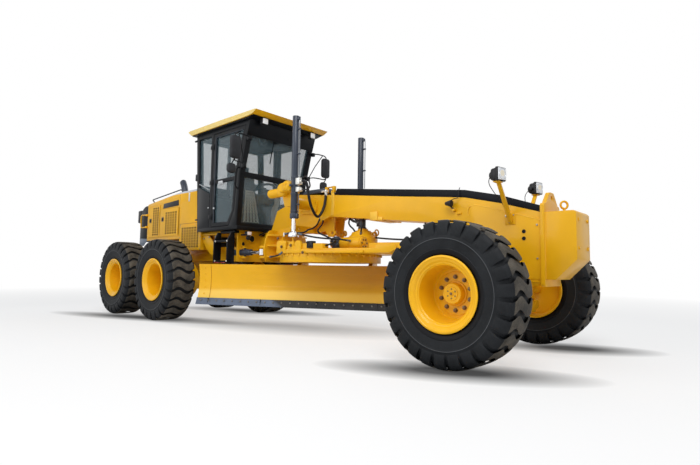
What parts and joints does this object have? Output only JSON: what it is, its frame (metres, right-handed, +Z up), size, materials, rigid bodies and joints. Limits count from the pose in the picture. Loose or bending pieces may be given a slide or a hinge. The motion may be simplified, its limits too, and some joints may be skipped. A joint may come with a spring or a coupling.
{
  "type": "motor grader",
  "caption": "Articulated road grader with an arched front frame, side-angled curved blade under a toothed circle, cab, and engine hood over tandem rear wheels.",
  "frame": {"origin": "on the ground at the middle of the machine's length and width", "axes": "+X forward along the machine, +Y to its left, +Z up"},
  "size_m": [8.785, 2.6154, 3.2899],
  "materials": {
    "yellow_paint": "gloss enamel",
    "black_paint": "satin enamel",
    "slate_paint": "gloss enamel",
    "tyre_rubber": "matt",
    "chrome_rod": "polished",
    "cab_glazing": "clear",
    "dark_plastic": "matt",
    "grey_iron": "cast",
    "edge_steel": "worn",
    "lamp_black": "satin"
  },
  "bodies": {
    "rear_frame": {"rear_frame": "yellow_paint", "tandem_axle": "yellow_paint", "engine_block": "grey_iron", "engine_hood": "yellow_paint", "radiator_guard": "black_paint", "exhaust_stack": "black_paint", "cab_shell": "black_paint", "cab_roof": "yellow_paint", "cab_glass": "cab_glazing", "cab_interior": "dark_plastic", "steps": "black_paint", "mirrors": "black_paint"},
    "front_frame": {"main_frame": "yellow_paint", "hose_cover": "black_paint", "counterweight": "yellow_paint", "head_lamps": "lamp_black", "lift_saddle": "yellow_paint", "front_axle": "yellow_paint"},
    "cab_door_L": {"cab_door_L": "black_paint", "door_glass_L": "cab_glazing"},
    "cab_door_R": {"cab_door_R": "black_paint", "door_glass_R": "cab_glazing"},
    "hood_door_front_L": {"hood_door_front_L": "yellow_paint"},
    "hood_door_front_R": {"hood_door_front_R": "yellow_paint"},
    "hood_door_rear_L": {"hood_door_rear_L": "yellow_paint"},
    "hood_door_rear_R": {"hood_door_rear_R": "yellow_paint"},
    "wheel_mid_L": {"tyre_mid_L": "tyre_rubber", "rim_mid_L": "yellow_paint"},
    "wheel_mid_R": {"tyre_mid_R": "tyre_rubber", "rim_mid_R": "yellow_paint"},
    "wheel_rear_L": {"tyre_rear_L": "tyre_rubber", "rim_rear_L": "yellow_paint"},
    "wheel_rear_R": {"tyre_rear_R": "tyre_rubber", "rim_rear_R": "yellow_paint"},
    "wheel_front_L": {"tyre_front_L": "tyre_rubber", "rim_front_L": "yellow_paint"},
    "wheel_front_R": {"tyre_front_R": "tyre_rubber", "rim_front_R": "yellow_paint"},
    "lean_bracket_L": {"lean_bracket_L": "yellow_paint"},
    "lean_bracket_R": {"lean_bracket_R": "yellow_paint"},
    "lean_bar": {"lean_bar": "yellow_paint"},
    "knuckle_L": {"knuckle_L": "yellow_paint"},
    "knuckle_R": {"knuckle_R": "yellow_paint"},
    "tie_rod_ball": {"tie_rod_ball": "chrome_rod"},
    "tie_rod": {"tie_rod": "yellow_paint"},
    "drawbar": {"drawbar": "yellow_paint", "circle_drive": "yellow_paint"},
    "circle": {"circle": "yellow_paint"},
    "blade_carrier": {"blade_carrier": "yellow_paint", "shift_barrel": "slate_paint"},
    "blade": {"moldboard": "yellow_paint", "cutting_edge": "edge_steel", "shift_rod": "chrome_rod"},
    "lift_barrels": {"lift_barrels": "slate_paint"},
    "lift_rods": {"lift_rods": "chrome_rod"},
    "fold_barrel_L": {"fold_barrel_L": "slate_paint"},
    "fold_barrel_R": {"fold_barrel_R": "slate_paint"},
    "fold_rod_L": {"fold_rod_L": "chrome_rod"},
    "fold_rod_R": {"fold_rod_R": "chrome_rod"}
  },
  "joints": [
    {"name": "frame_fold", "type": "hinge", "parent": "rear_frame", "child": "front_frame", "pos_m": [-0.3925, 0, 1.23], "axis": [0, 0, 1], "range_deg": [-25, 25]},
    {"name": "wheel_mid_L_spin", "type": "hinge", "parent": "rear_frame", "child": "wheel_mid_L", "pos_m": [-1.9075, 1.087, 0.675], "axis": [0, 1, 0], "continuous": true},
    {"name": "wheel_rear_L_spin", "type": "hinge", "parent": "rear_frame", "child": "wheel_rear_L", "pos_m": [-3.4525, 1.087, 0.675], "axis": [0, 1, 0], "continuous": true},
    {"name": "wheel_front_L_spin", "type": "hinge", "parent": "knuckle_L", "child": "wheel_front_L", "pos_m": [3.5575, 1.087, 0.675], "axis": [0, 1, 0], "continuous": true},
    {"name": "wheel_mid_R_spin", "type": "hinge", "parent": "rear_frame", "child": "wheel_mid_R", "pos_m": [-1.9075, -1.087, 0.675], "axis": [0, 1, 0], "continuous": true},
    {"name": "wheel_rear_R_spin", "type": "hinge", "parent": "rear_frame", "child": "wheel_rear_R", "pos_m": [-3.4525, -1.087, 0.675], "axis": [0, 1, 0], "continuous": true},
    {"name": "wheel_front_R_spin", "type": "hinge", "parent": "knuckle_R", "child": "wheel_front_R", "pos_m": [3.5575, -1.087, 0.675], "axis": [0, 1, 0], "continuous": true},
    {"name": "lean_L", "type": "hinge", "parent": "front_frame", "child": "lean_bracket_L", "pos_m": [3.5575, 0.78, 0.5], "axis": [-1, 0, 0], "range_deg": [-18, 18]},
    {"name": "lean_R", "type": "hinge", "parent": "front_frame", "child": "lean_bracket_R", "pos_m": [3.5575, -0.78, 0.5], "axis": [-1, 0, 0], "range_deg": [-18, 18]},
    {"name": "lean_bar_level", "type": "hinge", "parent": "lean_bracket_L", "child": "lean_bar", "pos_m": [3.6715, 0.78, 0.755], "axis": [-1, 0, 0], "range_deg": [-18, 18]},
    {"name": "steer_L", "type": "hinge", "parent": "lean_bracket_L", "child": "knuckle_L", "pos_m": [3.5575, 0.78, 0.675], "axis": [0, 0, 1], "range_deg": [-45, 45]},
    {"name": "steer_R", "type": "hinge", "parent": "lean_bracket_R", "child": "knuckle_R", "pos_m": [3.5575, -0.78, 0.675], "axis": [0, 0, 1], "range_deg": [-45, 45]},
    {"name": "tie_ball_turn", "type": "hinge", "parent": "knuckle_L", "child": "tie_rod_ball", "pos_m": [3.3475, 0.78, 0.5], "axis": [0, 0, 1], "range_deg": [-45, 45]},
    {"name": "tie_rod_level", "type": "hinge", "parent": "tie_rod_ball", "child": "tie_rod", "pos_m": [3.3475, 0.78, 0.5], "axis": [-1, 0, 0], "range_deg": [-18, 18]},
    {"name": "drawbar_lift", "type": "hinge", "parent": "front_frame", "child": "drawbar", "pos_m": [3.2475, 0, 1], "axis": [0, 1, 0], "range_deg": [-17, 2.7]},
    {"name": "circle_turn", "type": "hinge", "parent": "drawbar", "child": "circle", "pos_m": [0.9475, 0, 1.03], "axis": [0, 0, 1], "continuous": true},
    {"name": "blade_tilt", "type": "hinge", "parent": "circle", "child": "blade_carrier", "pos_m": [0.90956, 0.08161, 0.56], "axis": [0.9068, 0.4215, 0], "range_deg": [-5, 30]},
    {"name": "blade_shift", "type": "slide", "parent": "blade_carrier", "child": "blade", "axis": [-0.9068, -0.4215, 0], "range_m": [-0.37, 0.3]},
    {"name": "lift_swing", "type": "hinge", "parent": "front_frame", "child": "lift_barrels", "pos_m": [0.9075, 0, 2.02], "axis": [0, 1, 0], "range_deg": [-2, 2]},
    {"name": "lift_rods_out", "type": "slide", "parent": "lift_barrels", "child": "lift_rods", "axis": [0, 0, 1], "range_m": [-0.75, 0.15]},
    {"name": "fold_swing_L", "type": "hinge", "parent": "rear_frame", "child": "fold_barrel_L", "pos_m": [-0.5425, 0.44, 1.135], "axis": [0, 0, 1], "range_deg": [-15, 15]},
    {"name": "fold_rod_out_L", "type": "slide", "parent": "fold_barrel_L", "child": "fold_rod_L", "axis": [0.995, -0.0995, 0], "range_m": [-0.2, 0.2]},
    {"name": "fold_swing_R", "type": "hinge", "parent": "rear_frame", "child": "fold_barrel_R", "pos_m": [-0.5425, -0.44, 1.135], "axis": [0, 0, 1], "range_deg": [-15, 15]},
    {"name": "fold_rod_out_R", "type": "slide", "parent": "fold_barrel_R", "child": "fold_rod_R", "axis": [0.995, 0.0995, 0], "range_m": [-0.2, 0.2]},
    {"name": "cab_door_L_open", "type": "hinge", "parent": "rear_frame", "child": "cab_door_L", "pos_m": [-1.1365, 0.7, 2.3], "axis": [0, 0, 1], "range_deg": [0, 100]},
    {"name": "cab_door_R_open", "type": "hinge", "parent": "rear_frame", "child": "cab_door_R", "pos_m": [-1.1365, -0.7, 2.3], "axis": [0, 0, -1], "range_deg": [0, 100]},
    {"name": "hood_door_front_L_open", "type": "hinge", "parent": "rear_frame", "child": "hood_door_front_L", "pos_m": [-2.4685, 0.56, 1.747], "axis": [0, 0, -1], "range_deg": [0, 90]},
    {"name": "hood_door_front_R_open", "type": "hinge", "parent": "rear_frame", "child": "hood_door_front_R", "pos_m": [-2.4685, -0.56, 1.747], "axis": [0, 0, 1], "range_deg": [0, 90]},
    {"name": "hood_door_rear_L_open", "type": "hinge", "parent": "rear_frame", "child": "hood_door_rear_L", "pos_m": [-3.1985, 0.56, 1.747], "axis": [0, 0, -1], "range_deg": [0, 90]},
    {"name": "hood_door_rear_R_open", "type": "hinge", "parent": "rear_frame", "child": "hood_door_rear_R", "pos_m": [-3.1985, -0.56, 1.747], "axis": [0, 0, 1], "range_deg": [0, 90]}
  ],
  "couplings": [
    {"joint": "lean_R", "follows": "lean_L", "ratio": 1},
    {"joint": "lean_bar_level", "follows": "lean_L", "ratio": -1},
    {"joint": "tie_rod_level", "follows": "lean_L", "ratio": -1},
    {"joint": "steer_R", "follows": "steer_L", "ratio": 1},
    {"joint": "tie_ball_turn", "follows": "steer_L", "ratio": -1},
    {"joint": "lift_swing", "follows": "drawbar_lift", "ratio": 0.03},
    {"joint": "lift_rods_out", "follows": "drawbar_lift", "m_per_rad": 2.35},
    {"joint": "fold_swing_L", "follows": "frame_fold", "ratio": 0.5128},
    {"joint": "fold_swing_R", "follows": "frame_fold", "ratio": 0.5128},
    {"joint": "fold_rod_out_L", "follows": "frame_fold", "m_per_rad": -0.4208},
    {"joint": "fold_rod_out_R", "follows": "frame_fold", "m_per_rad": 0.4208}
  ]
}
